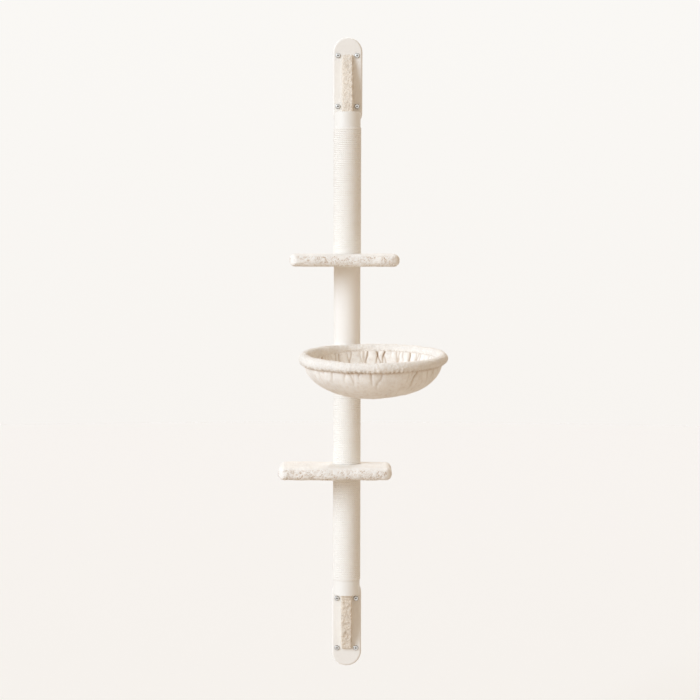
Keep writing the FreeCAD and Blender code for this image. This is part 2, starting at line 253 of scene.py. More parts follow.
def makeCurlGroup():
    # lamb fleece: fine squiggly strands, painted shade in gaps and where the mesh asks, broad tint changes
    tree, given, out = newGroup("curlPile", [
        ("Place", "vector", None), ("Curls", "value", 150.0), ("Swirl", "value", 0.5),
        ("Tip", "colour", (0.9, 0.86, 0.79, 1)), ("Gap", "colour", (0.7, 0.58, 0.45, 1)),
        ("Deep", "colour", (0.5, 0.36, 0.22, 1)), ("Tuck", "value", 0.0)],
        [("Color", "colour"), ("Height", "value")])
    swirl = cloudNoise(tree, given["Place"], given["Curls"], 1.0)
    centred = vectorMath(tree, "SUBTRACT", swirl.outputs["Color"], (0.5, 0.5, 0.5))
    push = vectorMath(tree, "SCALE", centred, scale=given["Swirl"])
    scaled = vectorMath(tree, "SCALE", given["Place"], scale=given["Curls"])
    place = vectorMath(tree, "ADD", scaled, push)
    winding = cloudNoise(tree, place, 1.0, 1.0).outputs["Fac"]
    off = calculate(tree, "ABSOLUTE", calculate(tree, "SUBTRACT", winding, 0.5))
    strand = spread(tree, off, 0.0, 0.12, 1.0, 0.0)
    fibres = cloudNoise(tree, place, 5.0, 3.0, 0.65).outputs["Fac"]
    height = calculate(tree, "ADD", calculate(tree, "MULTIPLY", strand, 0.6),
                       calculate(tree, "MULTIPLY", fibres, 0.45))
    # the gaps between strands get painted shade
    colour = mixColour(tree, spread(tree, height, 0.02, 0.42), given["Gap"], given["Tip"])
    broad = spread(tree, cloudNoise(tree, given["Place"], 22.0, 2.0).outputs["Fac"], 0.3, 0.7, 0.96, 1.02)
    tint = mixColour(tree, 1.0, colour, addNode(tree, "ShaderNodeCombineColor", {
        0: broad, 1: broad, 2: broad}).outputs[0], "MULTIPLY")
    # painted shade the mesh carries, with random mottle on the bowl cloth
    tree.links.new(mixColour(tree, given["Tuck"], tint, given["Deep"]), out["Color"])
    tree.links.new(height, out["Height"])
    return tree


def makeStrandGroup():
    # laid strands: the place is metres along the rope, then turns round it; grooves get painted shade
    tree, given, out = newGroup("laidStrands", [
        ("Place", "vector", None), ("Lay", "value", 0.02), ("Strands", "value", 3.0),
        ("Lit", "colour", (0.9, 0.85, 0.77, 1)), ("Groove", "colour", (0.6, 0.5, 0.38, 1))],
        [("Color", "colour"), ("Height", "value")])
    parts = addNode(tree, "ShaderNodeSeparateXYZ", {0: given["Place"]})
    along = calculate(tree, "DIVIDE", parts.outputs["X"], given["Lay"])
    phase = calculate(tree, "MULTIPLY", calculate(tree, "ADD", along, parts.outputs["Y"]), given["Strands"])
    wave = calculate(tree, "ABSOLUTE", calculate(tree, "SINE", calculate(tree, "MULTIPLY", phase, math.pi)))
    crown = calculate(tree, "POWER", wave, 0.5)
    fibrePlace = addNode(tree, "ShaderNodeCombineXYZ", {
        0: calculate(tree, "MULTIPLY", parts.outputs["X"], 160.0),
        1: calculate(tree, "MULTIPLY", phase, 7.0)})
    fibres = cloudNoise(tree, fibrePlace.outputs[0], 1.0, 3.0, 0.7).outputs["Fac"]
    height = calculate(tree, "ADD", crown, calculate(tree, "MULTIPLY", fibres, 0.45))
    slow = cloudNoise(tree, given["Place"], 3.0, 2.0).outputs["Fac"]
    lit = calculate(tree, "MULTIPLY", spread(tree, height, 0.25, 1.0),
                    spread(tree, slow, 0.25, 0.75, 0.82, 1.0))
    tree.links.new(mixColour(tree, lit, given["Groove"], given["Lit"]), out["Color"])
    tree.links.new(height, out["Height"])
    return tree


def makeWeaveGroup():
    # plain weave on two directions measured in metres, with painted shade in the holes between threads
    tree, given, out = newGroup("plainWeave", [
        ("Place", "vector", None), ("Threads", "value", 900.0), ("Thread", "colour", (0.9, 0.85, 0.77, 1)),
        ("Hole", "colour", (0.7, 0.6, 0.48, 1))], [("Color", "colour"), ("Height", "value")])
    parts = addNode(tree, "ShaderNodeSeparateXYZ", {0: given["Place"]})
    turns = []
    for axis in ("X", "Y"):
        count = calculate(tree, "MULTIPLY", parts.outputs[axis], given["Threads"])
        turns.append(calculate(tree, "MULTIPLY", count, math.pi))
    warp, weft = (calculate(tree, "ABSOLUTE", calculate(tree, "SINE", turn)) for turn in turns)
    over = calculate(tree, "MULTIPLY", *(calculate(tree, "SINE", calculate(tree, "MULTIPLY", turn, 0.5))
                                         for turn in turns))
    lifted = spread(tree, over, -0.6, 0.6)
    crossing = calculate(tree, "ADD", calculate(tree, "MULTIPLY", warp, lifted),
                         calculate(tree, "MULTIPLY", weft, calculate(tree, "SUBTRACT", 1.0, lifted)))
    slub = cloudNoise(tree, given["Place"], 260.0, 3.0, 0.6).outputs["Fac"]
    height = calculate(tree, "ADD", calculate(tree, "MULTIPLY", crossing, 0.7),
                       calculate(tree, "MULTIPLY", slub, 0.4))
    tree.links.new(mixColour(tree, spread(tree, height, 0.1, 0.85), given["Hole"], given["Thread"]),
                   out["Color"])
    tree.links.new(height, out["Height"])
    return tree


def makeWearGroup():
    # handling marks: fine scuffs in one direction, soft smudges and settled dust
    tree, given, out = newGroup("handlingWear", [
        ("Place", "vector", None), ("Scuffs", "value", 60.0), ("Amount", "value", 0.3)],
        [("Mask", "value"), ("Height", "value")])
    stretched = vectorMath(tree, "MULTIPLY", given["Place"], (1.0, 1.0, 0.16))
    scuffs = cloudNoise(tree, stretched, calculate(tree, "MULTIPLY", given["Scuffs"], 8.0), 3.0, 0.7)
    smudges = cloudNoise(tree, given["Place"], given["Scuffs"], 4.0, 0.6)
    line = spread(tree, scuffs.outputs["Fac"], 0.60, 0.72)
    smudge = spread(tree, smudges.outputs["Fac"], 0.42, 0.72)
    both = calculate(tree, "ADD", calculate(tree, "MULTIPLY", line, 0.45),
                     calculate(tree, "MULTIPLY", smudge, 0.6))
    tree.links.new(calculate(tree, "MULTIPLY", both, given["Amount"], clamp=True), out["Mask"])
    tree.links.new(scuffs.outputs["Fac"], out["Height"])
    return tree


curlPile = makeCurlGroup()
laidStrands = makeStrandGroup()
plainWeave = makeWeaveGroup()
handlingWear = makeWearGroup()
print("shared effects made")


# Finishes

def newFinish(name, rough, **constants):
    finish = bpy.data.materials.new(name)
    finish.use_nodes = True
    shader = finish.node_tree.nodes["Principled BSDF"]
    shader.inputs["Roughness"].default_value = rough
    for label, value in constants.items():
        shader.inputs[label].default_value = value
    return finish, finish.node_tree, shader


def objectPlace(tree):
    return addNode(tree, "ShaderNodeTexCoord").outputs["Object"]


def ownMap(tree, name):
    return addNode(tree, "ShaderNodeUVMap", uv_map=name).outputs["UV"]


def placeGroup(tree, group, **inputs):
    made = tree.nodes.new("ShaderNodeGroup")
    made.node_tree = group
    for label, value in inputs.items():
        label = label.replace("_", " ")
        if isinstance(value, bpy.types.NodeSocket):
            tree.links.new(value, made.inputs[label])
        else:
            made.inputs[label].default_value = (*value, 1) if isinstance(value, tuple) else value
    return made.outputs


def addBump(tree, shader, height, depth):
    bump = addNode(tree, "ShaderNodeBump", {"Height": height, "Distance": depth, "Strength": 1.0})
    tree.links.new(bump.outputs[0], shader.inputs["Normal"])


def plushFinish(name, tip, gap, deep, curls, swirl, depth):
    finish, tree, shader = newFinish(name, 0.95, **{"Sheen Weight": 0.08, "Sheen Roughness": 0.6,
                                                    "Specular IOR Level": 0.15})
    # painted shade each plush mesh carries in its gaps, creases and seams, with random mottle on the bowl
    tuck = addNode(tree, "ShaderNodeAttribute", attribute_name="tuck").outputs["Fac"]
    pile = placeGroup(tree, curlPile, Place=objectPlace(tree), Curls=curls, Swirl=swirl, Tip=tip, Gap=gap,
                      Deep=deep, Tuck=tuck)
    tree.links.new(pile["Color"], shader.inputs["Base Color"])
    addBump(tree, shader, pile["Height"], depth)
    return finish


def paintFinish(name, colour, worn, rough, peel, amount):
    finish, tree, shader = newFinish(name, rough, **{"Specular IOR Level": 0.4})
    place = objectPlace(tree)
    wear = placeGroup(tree, handlingWear, Place=place, Scuffs=14.0, Amount=amount)
    cloudy = spread(tree, cloudNoise(tree, place, 9.0, 2.0).outputs["Fac"], 0.3, 0.7)
    even = mixColour(tree, cloudy, tuple(part * 0.985 for part in colour), colour)
    tree.links.new(mixColour(tree, wear["Mask"], even, worn), shader.inputs["Base Color"])
    tree.links.new(spread(tree, wear["Mask"], 0.0, 1.0, rough, rough + 0.3), shader.inputs["Roughness"])
    peelHeight = cloudNoise(tree, place, peel, 2.0, 0.5).outputs["Fac"]
    addBump(tree, shader, peelHeight, 0.00012)
    return finish


def steelFinish(name, colour, dirt, rough, amount):
    finish, tree, shader = newFinish(name, rough, **{"Metallic": 1.0})
    place = objectPlace(tree)
    wear = placeGroup(tree, handlingWear, Place=place, Scuffs=160.0, Amount=amount)
    tree.links.new(mixColour(tree, wear["Mask"], colour, dirt), shader.inputs["Base Color"])
    tree.links.new(spread(tree, wear["Mask"], 0.0, 0.6, rough, rough + 0.35), shader.inputs["Roughness"])
    addBump(tree, shader, wear["Height"], 0.00006)
    return finish


screwLook = {
    "squarely": (-0.97, -0.72),  # how straight a face looks out from the wall
    "recess": (-0.0179, -0.0173),  # metres out from the wall, where the cross is cut in
    "crown": (0.80, 0.79, 0.77),
    "dirt": (0.35, 0.33, 0.30),
    # painted dark reflection on the rounded edge of the head
    "edge": (0.16, 0.145, 0.13),
    # painted shade in the cross recess
    "hollow": (0.02, 0.018, 0.015),
}


def screwFinish():
    # bright on the crown, a painted dark reflection on the rounded edge and painted shade in the cross
    # recess
    finish, tree, shader = newFinish("screwSteel", 0.28, **{"Metallic": 1.0})
    place = objectPlace(tree)
    parts = addNode(tree, "ShaderNodeSeparateXYZ", {0: place})
    facing = addNode(tree, "ShaderNodeSeparateXYZ", {0: addNode(tree, "ShaderNodeNewGeometry").outputs[
        "Normal"]})
    front = spread(tree, facing.outputs["Y"], *screwLook["squarely"], 1.0, 0.0)
    sunk = calculate(tree, "MULTIPLY", front, spread(tree, parts.outputs["Y"], *screwLook["recess"]))
    wear = placeGroup(tree, handlingWear, Place=place, Scuffs=160.0, Amount=0.7)
    crown = mixColour(tree, wear["Mask"], screwLook["crown"], screwLook["dirt"])
    edge = mixColour(tree, front, screwLook["edge"], crown)
    tree.links.new(mixColour(tree, sunk, edge, screwLook["hollow"]), shader.inputs["Base Color"])
    tree.links.new(spread(tree, calculate(tree, "MAXIMUM", wear["Mask"], sunk), 0.0, 0.8, 0.25, 0.7),
                   shader.inputs["Roughness"])
    addBump(tree, shader, wear["Height"], 0.00006)
    return finish


def chipFinish():
    # pressed wood flakes of several tints, seen at cut edges and holes
    finish, tree, shader = newFinish("chipBoard", 0.85)
    place = objectPlace(tree)
    flakes = addNode(tree, "ShaderNodeTexVoronoi", {"Vector": vectorMath(
        tree, "MULTIPLY", place, (1.0, 1.0, 2.6)), "Scale": 330.0, "Randomness": 1.0})
    tint = addNode(tree, "ShaderNodeSeparateColor", {0: flakes.outputs["Color"]}).outputs[0]
    colour = mixColour(tree, tint, (0.42, 0.27, 0.14), (0.72, 0.54, 0.34))
    grain = cloudNoise(tree, place, 900.0, 3.0).outputs["Fac"]
    tree.links.new(mixColour(tree, spread(tree, grain, 0.35, 0.65, 0.0, 0.35), colour, (0.80, 0.65, 0.45)),
                   shader.inputs["Base Color"])
    addBump(tree, shader, tint, 0.0003)
    return finish


def pineFinish():
    finish, tree, shader = newFinish("pineWood", 0.6)
    place = objectPlace(tree)
    bent = vectorMath(tree, "ADD", vectorMath(tree, "MULTIPLY", place, (1.0, 0.12, 1.0)), vectorMath(
        tree, "SCALE", cloudNoise(tree, place, 12.0, 2.0).outputs["Color"], scale=0.012))
    rings = addNode(tree, "ShaderNodeTexWave", {"Vector": bent, "Scale": 42.0, "Distortion": 2.0,
                                                "Detail": 3.0}, wave_type="RINGS", rings_direction="Y")
    colour = mixColour(tree, rings.outputs["Fac"], (0.80, 0.62, 0.38), (0.62, 0.40, 0.20))
    pores = cloudNoise(tree, vectorMath(tree, "MULTIPLY", place, (700.0, 60.0, 700.0)), 1.0, 2.0)
    tree.links.new(mixColour(tree, spread(tree, pores.outputs["Fac"], 0.55, 0.75, 0.0, 0.4), colour,
                             (0.45, 0.28, 0.14)), shader.inputs["Base Color"])
    addBump(tree, shader, rings.outputs["Fac"], 0.0001)
    return finish


def cardFinish():
    # brown card wound in a spiral, its butt seams a hand's width apart
    finish, tree, shader = newFinish("cardTube", 0.8)
    place = objectPlace(tree)
    parts = addNode(tree, "ShaderNodeSeparateXYZ", {0: place})
    across = calculate(tree, "ADD", parts.outputs["Y"], -postAxis.y)
    turn = calculate(tree, "ARCTAN2", parts.outputs["X"], across)
    climb = calculate(tree, "ADD", calculate(tree, "DIVIDE", turn, 2 * math.pi),
                      calculate(tree, "MULTIPLY", parts.outputs["Z"], 9.0))
    seam = spread(tree, calculate(tree, "PINGPONG", climb, 0.5), 0.0, 0.02)
    fibres = cloudNoise(tree, vectorMath(tree, "MULTIPLY", place, (400.0, 400.0, 150.0)), 1.0, 3.0)
    card = mixColour(tree, fibres.outputs["Fac"], (0.46, 0.33, 0.21), (0.58, 0.44, 0.30))
    tree.links.new(mixColour(tree, seam, (0.30, 0.20, 0.12), card), shader.inputs["Base Color"])
    addBump(tree, shader, seam, 0.0002)
    return finish


def ropeFinish():
    finish, tree, shader = newFinish("woundRope", 0.9, **{"Sheen Weight": 0.15, "Specular IOR Level": 0.2})
    strands = placeGroup(tree, laidStrands, Place=ownMap(tree, "ropeMap"), Lay=0.019, Strands=3.0,
                         Lit=(0.96, 0.935, 0.885), Groove=(0.885, 0.825, 0.73))
    tree.links.new(strands["Color"], shader.inputs["Base Color"])
    addBump(tree, shader, strands["Height"], 0.0006)
    return finish


def clothFinish(name, thread, hole, threads, depth):
    finish, tree, shader = newFinish(name, 0.9, **{"Sheen Weight": 0.25, "Specular IOR Level": 0.2})
    weave = placeGroup(tree, plainWeave, Place=ownMap(tree, "clothMap"), Threads=threads, Thread=thread,
                       Hole=hole)
    tree.links.new(weave["Color"], shader.inputs["Base Color"])
    addBump(tree, shader, weave["Height"], depth)
    return finish


finishes = {
    "plate_paint": paintFinish("platePaint", (0.91, 0.882, 0.83), (0.78, 0.72, 0.63), 0.36, 700.0, 0.25),
    "hub_paint": paintFinish("hubPaint", (0.89, 0.865, 0.81), (0.80, 0.74, 0.65), 0.45, 900.0, 0.2),
    "screw_steel": screwFinish(),
    "insert_steel": steelFinish("insertZinc", (0.70, 0.69, 0.64), (0.36, 0.33, 0.28), 0.38, 0.7),
    "ring_steel": steelFinish("ringSteel", (0.58, 0.57, 0.55), (0.30, 0.27, 0.24), 0.42, 0.6),
    "board": chipFinish(),
    "plug_wood": pineFinish(),
    "card_tube": cardFinish(),
    "sisal_rope": ropeFinish(),
    "smooth_fabric": clothFinish("sleeveCloth", (0.955, 0.93, 0.88), (0.87, 0.80, 0.71), 1100.0, 0.00018),
    "short_plush": plushFinish("shortPlush", (0.985, 0.905, 0.79), (0.82, 0.69, 0.54), (0.42, 0.30, 0.19),
                               380.0, 1.2, 0.0006),
    "curly_plush": plushFinish("curlyPlush", (0.995, 0.97, 0.92), (0.975, 0.915, 0.825), (0.50, 0.34, 0.20),
                               240.0, 1.6, 0.0005),
    "bowl_plush": plushFinish("rimPlush", (0.99, 0.955, 0.895), (0.93, 0.85, 0.735), (0.52, 0.37, 0.23),
                              360.0, 1.2, 0.0004),
    "bowl_cloth": plushFinish("bowlPlush", (0.98, 0.95, 0.895), (0.92, 0.84, 0.73), (0.48, 0.32, 0.18),
                              300.0, 1.2, 0.0004),
}


def dressNodes():
    # each CAD node that stays shows the finish of its own slot
    for node in nodes.values():
        for slot in node.material_slots:
            slotName = slot.material.name
            slot.link = "OBJECT"
            slot.material = finishes[slotName]


dressNodes()
print("finishes made:", len(finishes))


# Mesh helpers

def smoothStep(value, low, high):
    share = min(max((value - low) / (high - low), 0.0), 1.0)
    return share * share * (3 - 2 * share)


def applied(piece):
    # the mesh as its modifiers leave it, with none left on the piece
    settled = bpy.data.meshes.new_from_object(piece.evaluated_get(bpy.context.evaluated_depsgraph_get()))
    piece.modifiers.clear()
    old = piece.data
    piece.data = settled
    bpy.data.meshes.remove(old)


def newPiece(name, bm, body, slotName, replaced=()):
    mesh = bpy.data.meshes.new(name)
    bm.to_mesh(mesh)
    bm.free()
    mesh.shade_smooth()
    piece = linked(name, mesh)
    mesh.materials.append(finishes[slotName])
    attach(piece, body)
    if replaced:
        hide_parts(*replaced)
    return piece


def repeated(bm, count, step, weld):
    # one length of a winding set end to end, its joins welded
    mesh = bpy.data.meshes.new("oneTurn")
    bm.to_mesh(mesh)
    bm.free()
    piece = linked("oneTurn", mesh)
    row = piece.modifiers.new("turns", "ARRAY")
    row.use_relative_offset, row.use_constant_offset = False, True
    row.count, row.constant_offset_displace = count, step
    row.use_merge_vertices, row.merge_threshold = True, weld
    applied(piece)
    whole = bmesh.new()
    whole.from_mesh(piece.data)
    bpy.data.objects.remove(piece)
    return whole


def evenCopy(name, nodeName, voxel):
    # a CAD node's shape as one closed mesh of even squares
    bm = bmesh.new()
    bm.from_mesh(nodes[nodeName].data)
    bmesh.ops.remove_doubles(bm, verts=bm.verts, dist=0.002 * mm)
    mesh = bpy.data.meshes.new(name)
    bm.to_mesh(mesh)
    bm.free()
    piece = linked(name, mesh)
    squares = piece.modifiers.new("evenSquares", "REMESH")
    squares.mode, squares.voxel_size = "VOXEL", voxel
    applied(piece)
    even = bmesh.new()
    even.from_mesh(piece.data)
    bpy.data.objects.remove(piece)
    bmesh.ops.recalc_face_normals(even, faces=even.faces)
    return even


def relax(bm, keep, rounds):
    moving = [vert for vert in bm.verts if not keep(vert.co)]
    for done in range(rounds):
        bmesh.ops.smooth_vert(bm, verts=moving, factor=0.5, use_axis_x=True, use_axis_y=True,
                              use_axis_z=True)


def pushOut(bm, amount):
    # every point moves along its own normal; the painted shade that comes with each move is kept for its
    # tint
    bm.normal_update()
    tuck = bm.verts.layers.float.new("tuck")
    moves = []
    for vert in bm.verts:
        move, vert[tuck] = amount(vert.co)
        moves.append(vert.normal * move)
    for vert, move in zip(bm.verts, moves):
        vert.co += move


def curlHeight(place, size, swirl, seed):
    # 1 on squiggly strands, 0 in the gaps between them
    cell = place / size + Vector((seed * 3.1, seed * 1.7, seed * 2.3))
    cell = cell + swirl * noise.noise_vector(cell * 0.9)
    return 1 - smoothStep(abs(noise.noise(cell)), 0.0, 0.34)


def flattenInside(bm, isInside):
    # the flat faces that nobody sees become few
    inner = {face for face in bm.faces if isInside(face.calc_center_median())}
    edges = list({edge for face in inner for edge in face.edges
                  if all(other in inner for other in edge.link_faces)})
    verts = list({vert for edge in edges for vert in edge.verts})
    bmesh.ops.dissolve_limit(bm, angle_limit=math.radians(3), use_dissolve_boundaries=False, verts=verts,
                             edges=edges)


# Rope wound on three sections of the post

ropeWraps = {
    "diameter": 5.5 * mm,
    "pitch": 5.56 * mm,
    "windingRadius": 38.25 * mm,
    "sides": 12,
    "stepsInTurn": 40,
    "unevenness": 0.22 * mm,
    "endReach": 0.4 * mm,
    "endSunk": 0.25 * mm,
    "startTurn": 80,  # degrees
    "sections": {"lowerRope": "lower_rope_wrap", "middleRope": "middle_rope_wrap",
                 "upperRope": "upper_rope_wrap"},
}


def makeRope(name, nodeName):
    low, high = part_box(nodeName)
    size = ropeWraps
    rope, reach, steps = size["diameter"] / 2, size["windingRadius"], size["stepsInTurn"]
    climb = high.z - low.z + 2 * size["endReach"] - 2 * rope
    turns = round(climb / size["pitch"])
    pitch = climb / turns
    start = low.z - size["endReach"] + rope

    def turned(bm, middle, level, lift, weld):
        # one turn of the rope, pressed against its neighbours so its section is nearly square
        upright = Matrix.Translation((middle, 0, level)) @ Matrix.Rotation(math.pi / 2, 4, "X")
        ring = bmesh.ops.create_circle(bm, cap_ends=False, radius=rope, segments=size["sides"],
                                       matrix=upright)
        for vert in ring["verts"]:
            side, rise = (vert.co.x - middle) / rope, (vert.co.z - level) / rope
            press = (abs(side) ** 4 + abs(rise) ** 4) ** (-1 / 4)
            vert.co = (middle + side * press * rope, 0, level + rise * press * pitch / 2)
        edges = list({edge for vert in ring["verts"] for edge in vert.link_edges})
        bmesh.ops.spin(bm, geom=ring["verts"] + edges, cent=(0, 0, 0), axis=(0, 0, 1),
                       dvec=(0, 0, lift / steps), angle=2 * math.pi, steps=steps, use_merge=weld,
                       use_normal_flip=False, use_duplicate=False)

    bm = bmesh.new()
    turned(bm, reach, start, pitch, False)
    bm = repeated(bm, turns, (0, 0, pitch), 0.05 * mm)
    bmesh.ops.holes_fill(bm, edges=[edge for edge in bm.edges if edge.is_boundary], sides=0)
    for level in (start, start + climb):  # a flat turn closes each end
        turned(bm, reach - size["endSunk"], level, 0.0, True)
    bmesh.ops.recalc_face_normals(bm, faces=bm.faces)

    def ropePlace(co, nearTurn=None):
        # turns from the start, and turns round the rope's own middle
        share = (math.atan2(co.y, co.x) / (2 * math.pi)) % 1.0
        turn = share + round((co.z - start) / pitch - share)
        if nearTurn is not None:
            turn = share + round(nearTurn - share)
        around = math.atan2(co.z - start - pitch * turn, math.hypot(co.x, co.y) - reach)
        return turn, around / (2 * math.pi)

    ropeMap = bm.loops.layers.uv.new("ropeMap")
    for face in bm.faces:
        turn, around = ropePlace(face.calc_center_median())
        for loop in face.loops:
            cornerTurn, cornerAround = ropePlace(loop.vert.co, turn)
            cornerAround += round(around - cornerAround)
            loop[ropeMap].uv = (cornerTurn * 2 * math.pi * reach, cornerAround)
    seed = low.z * 7
    slack = size["unevenness"]
    for vert in bm.verts:
        turn = ropePlace(vert.co)[0]
        vert.co.z += slack * noise.noise(Vector((turn * 1.7, seed, 0)))
        outward = Vector((vert.co.x, vert.co.y, 0)).normalized()
        vert.co += outward * slack * 0.8 * noise.noise(Vector((turn * 2.3, seed, 5)))
    turnBack = Matrix.Translation(postAxis) @ Matrix.Rotation(math.radians(size["startTurn"]), 4, "Z")
    bmesh.ops.transform(bm, matrix=turnBack, verts=bm.verts)
    newPiece(name, bm, "post", "sisal_rope", (nodeName,))
    print(name, "wound:", turns, "turns")


for name, nodeName in ropeWraps["sections"].items():
    makeRope(name, nodeName)


# Smooth cloth sleeve on the section above the bowl

sleeve = {
    "radius": 39.3 * mm,
    "around": 120,
    "rows": 90,
    "seamWidth": 2.6 * mm,
    "seamDepth": 1.3 * mm,
    "puckerDepth": 0.35 * mm,
    "puckerLength": 3.4 * mm,
    "hemDrop": 5 * mm,
    "hemDepth": 0.6 * mm,
    "broadSlack": 0.30 * mm,
    "fineSlack": 0.16 * mm,
    "thickness": 3.2 * mm,
    "stitchGap": 4.2 * mm,
    "stitchRadius": 0.45 * mm,
    "stitchLength": 1.5 * mm,
    "stitchAside": 2.1 * mm,
    "stitchSunk": 0.35 * mm,
}


def makeSleeve():
    size = sleeve
    low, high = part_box("smooth_sleeve")
    tall = high.z - low.z
    bm = bmesh.new()
    ring = bmesh.ops.create_circle(bm, cap_ends=False, radius=size["radius"], segments=size["around"],
                                   matrix=Matrix.Translation((0, 0, low.z)))
    edges = list({edge for vert in ring["verts"] for edge in vert.link_edges})
    bmesh.ops.spin(bm, geom=ring["verts"] + edges, cent=(0, 0, 0), axis=(0, 0, 1),
                   dvec=(0, 0, tall / size["rows"]), angle=0.0, steps=size["rows"], use_merge=False,
                   use_normal_flip=False, use_duplicate=False)
    bmesh.ops.recalc_face_normals(bm, faces=bm.faces)
    clothMap = bm.loops.layers.uv.new("clothMap")
    for face in bm.faces:
        middle = face.calc_center_median()
        for loop in face.loops:
            turn = math.atan2(loop.vert.co.x, -loop.vert.co.y)
            turn += 2 * math.pi * round((math.atan2(middle.x, -middle.y) - turn) / (2 * math.pi))
            loop[clothMap].uv = (turn * size["radius"], loop.vert.co.z)
    for vert in bm.verts:
        turn = math.atan2(vert.co.x, vert.co.y)  # 0 at the back, where the seam is
        fromEnd = min(vert.co.z - low.z, high.z - vert.co.z)
        away = abs(turn) * size["radius"] / size["seamWidth"]
        groove = size["seamDepth"] * math.exp(-away * away)
        wave = math.sin(vert.co.z / size["puckerLength"] + 2 * noise.noise(vert.co * 60))
        pucker = size["puckerDepth"] * math.exp(-away * 0.18) * wave
        hem = size["hemDepth"] * (1 - smoothStep(fromEnd, 0, size["hemDrop"]))
        slack = (size["broadSlack"] * noise.noise(Vector((turn * 2.0, vert.co.z * 9, 3)))
                 + size["fineSlack"] * noise.noise(Vector((turn * 7.0, vert.co.z * 60, 9))))
        radial = Vector((vert.co.x, vert.co.y, 0)).normalized()
        vert.co += radial * (slack + pucker * 0.5 - groove - hem)
    bmesh.ops.transform(bm, matrix=Matrix.Translation(postAxis), verts=bm.verts)
    cloth = newPiece("sleeveCloth", bm, "post", "smooth_fabric", ("smooth_sleeve",))
    wall = cloth.modifiers.new("clothThickness", "SOLIDIFY")
    wall.thickness, wall.offset = size["thickness"], -1
    applied(cloth)

    stitches = bmesh.new()
    count = int((tall - 2 * size["hemDrop"]) / size["stitchGap"])
    for index in range(count):
        z = low.z + size["hemDrop"] + (index + 0.5) * size["stitchGap"]
        for side in (-1, 1):
            aside, out = side * size["stitchAside"], size["radius"] - size["stitchSunk"]
            place = Matrix.Translation(postAxis + Vector((aside, out, z)))
            shape = Matrix.Diagonal((size["stitchRadius"], size["stitchRadius"], size["stitchLength"], 1))
            bmesh.ops.create_uvsphere(stitches, u_segments=6, v_segments=4, radius=1.0,
                                      matrix=place @ shape)
    newPiece("sleeveStitches", stitches, "post", "smooth_fabric")
    print("sleeve made:", count * 2, "stitches")


makeSleeve()


# Platforms: curly plush drawn over a board, open where the post's sections stand

platforms = {
    "voxel": 2.0 * mm,
    "curlSize": 6.5 * mm,
    "curlDepth": 1.8 * mm,
    "swirl": 0.7,
    "broadSize": 40 * mm,
    "broadDepth": 1.6 * mm,
    "roundness": 0.85,  # 1 makes the edges half round
    "gapTint": 0.70,
    "topTint": 0.04,
    "patchSize": 14 * mm,
    "pileStart": 3 * mm,  # out from the board, where the plush starts and where it is whole
    "pileWhole": 7 * mm,
    "postClear": 43.0 * mm,
    "postFade": 5 * mm,
    "pieces": {"upperPlatformPlush": ("upper_platform_cover", "upper_platform_board"),
               "lowerPlatformPlush": ("lower_platform_cover", "lower_platform_board")},
}


def depthOutside(co, low, high):
    # how far a place is outside a box, 0 inside it
    return Vector([max(low[i] - co[i], 0, co[i] - high[i]) for i in range(3)]).length


def makePlatform(name, coverName, boardName, seed):
    size = platforms
    bm = evenCopy(name, coverName, size["voxel"])
    low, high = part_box(boardName)
    coverLow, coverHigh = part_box(coverName)
    half = (coverHigh.z - coverLow.z) / 2
    middle = (coverHigh.z + coverLow.z) / 2

    def inside(co):
        return depthOutside(co, low, high) < size["pileStart"]

    def awayFromPost(co):
        fromPost = math.hypot(co.x - postAxis.x, co.y - postAxis.y)
        return smoothStep(fromPost, size["postClear"], size["postClear"] + size["postFade"])

    relax(bm, inside, 2)
    for vert in bm.verts:  # the plush pulls its edges round over the board
        if inside(vert.co):
            continue
        core = Vector((min(max(vert.co.x, coverLow.x + half), coverHigh.x - half),
                       min(max(vert.co.y, coverLow.y + half), coverHigh.y - half), middle))
        out = vert.co - core
        if out.length > half:
            vert.co += (out * (half / out.length) - out) * size["roundness"] * awayFromPost(vert.co)

    def plushHeight(co):
        outward = smoothStep(depthOutside(co, low, high), size["pileStart"], size["pileWhole"])
        free = outward * awayFromPost(co)
        if free == 0:
            return 0.0, 0.0
        curl = curlHeight(co, size["curlSize"], size["swirl"], seed)
        small = curlHeight(co, size["curlSize"] * 0.5, size["swirl"], seed + 4)
        pile = 0.65 * curl + 0.35 * small
        broad = noise.noise(co / size["broadSize"] + Vector((seed, 0, 0)))
        # painted shade in the gaps between curls, strong on the front and sides and faint on top
        onTop = smoothStep(co.z - middle, half * 0.5, half * 0.95)
        tint = size["gapTint"] * (1 - onTop) + size["topTint"] * onTop
        patch = 0.75 + 0.9 * noise.noise(co / size["patchSize"])
        return (free * (size["curlDepth"] * (pile - 0.5) + size["broadDepth"] * broad),
                free * tint * patch * (1 - smoothStep(pile, 0.05, 0.42)))

    pushOut(bm, plushHeight)
    flattenInside(bm, inside)
    bmesh.ops.recalc_face_normals(bm, faces=bm.faces)
    plush = newPiece(name, bm, "post", "curly_plush", (coverName,))
    print(name, "made:", len(plush.data.polygons), "faces")


for seed, (name, (coverName, boardName)) in enumerate(platforms["pieces"].items()):
    makePlatform(name, coverName, boardName, seed + 1)


# Gussets: short plush over a wedge, its edges a little ragged

gussets = {
    "voxel": 1.8 * mm,
    "tuftSize": 4.5 * mm,
    "tuftDepth": 1.5 * mm,
    "broadSize": 26 * mm,
    "broadDepth": 1.3 * mm,
    "raggedSize": 9 * mm,
    "raggedDepth": 1.1 * mm,
    "patchSize": 11 * mm,
    "gapTint": 0.28,
    "plateFront": -15 * mm,
    "halfWidth": 10 * mm,
    "coreFoot": 3 * mm,
    "coreMargin": 2.5 * mm,
    "endMargin": 2.0 * mm,
    "pileStart": 0.5 * mm,
    "pileWhole": 4 * mm,
    "pieces": {"upperGussetPlush": ("upper_gusset_cover", "upper_gusset_core"),
               "lowerGussetPlush": ("lower_gusset_cover", "lower_gusset_core")},
}


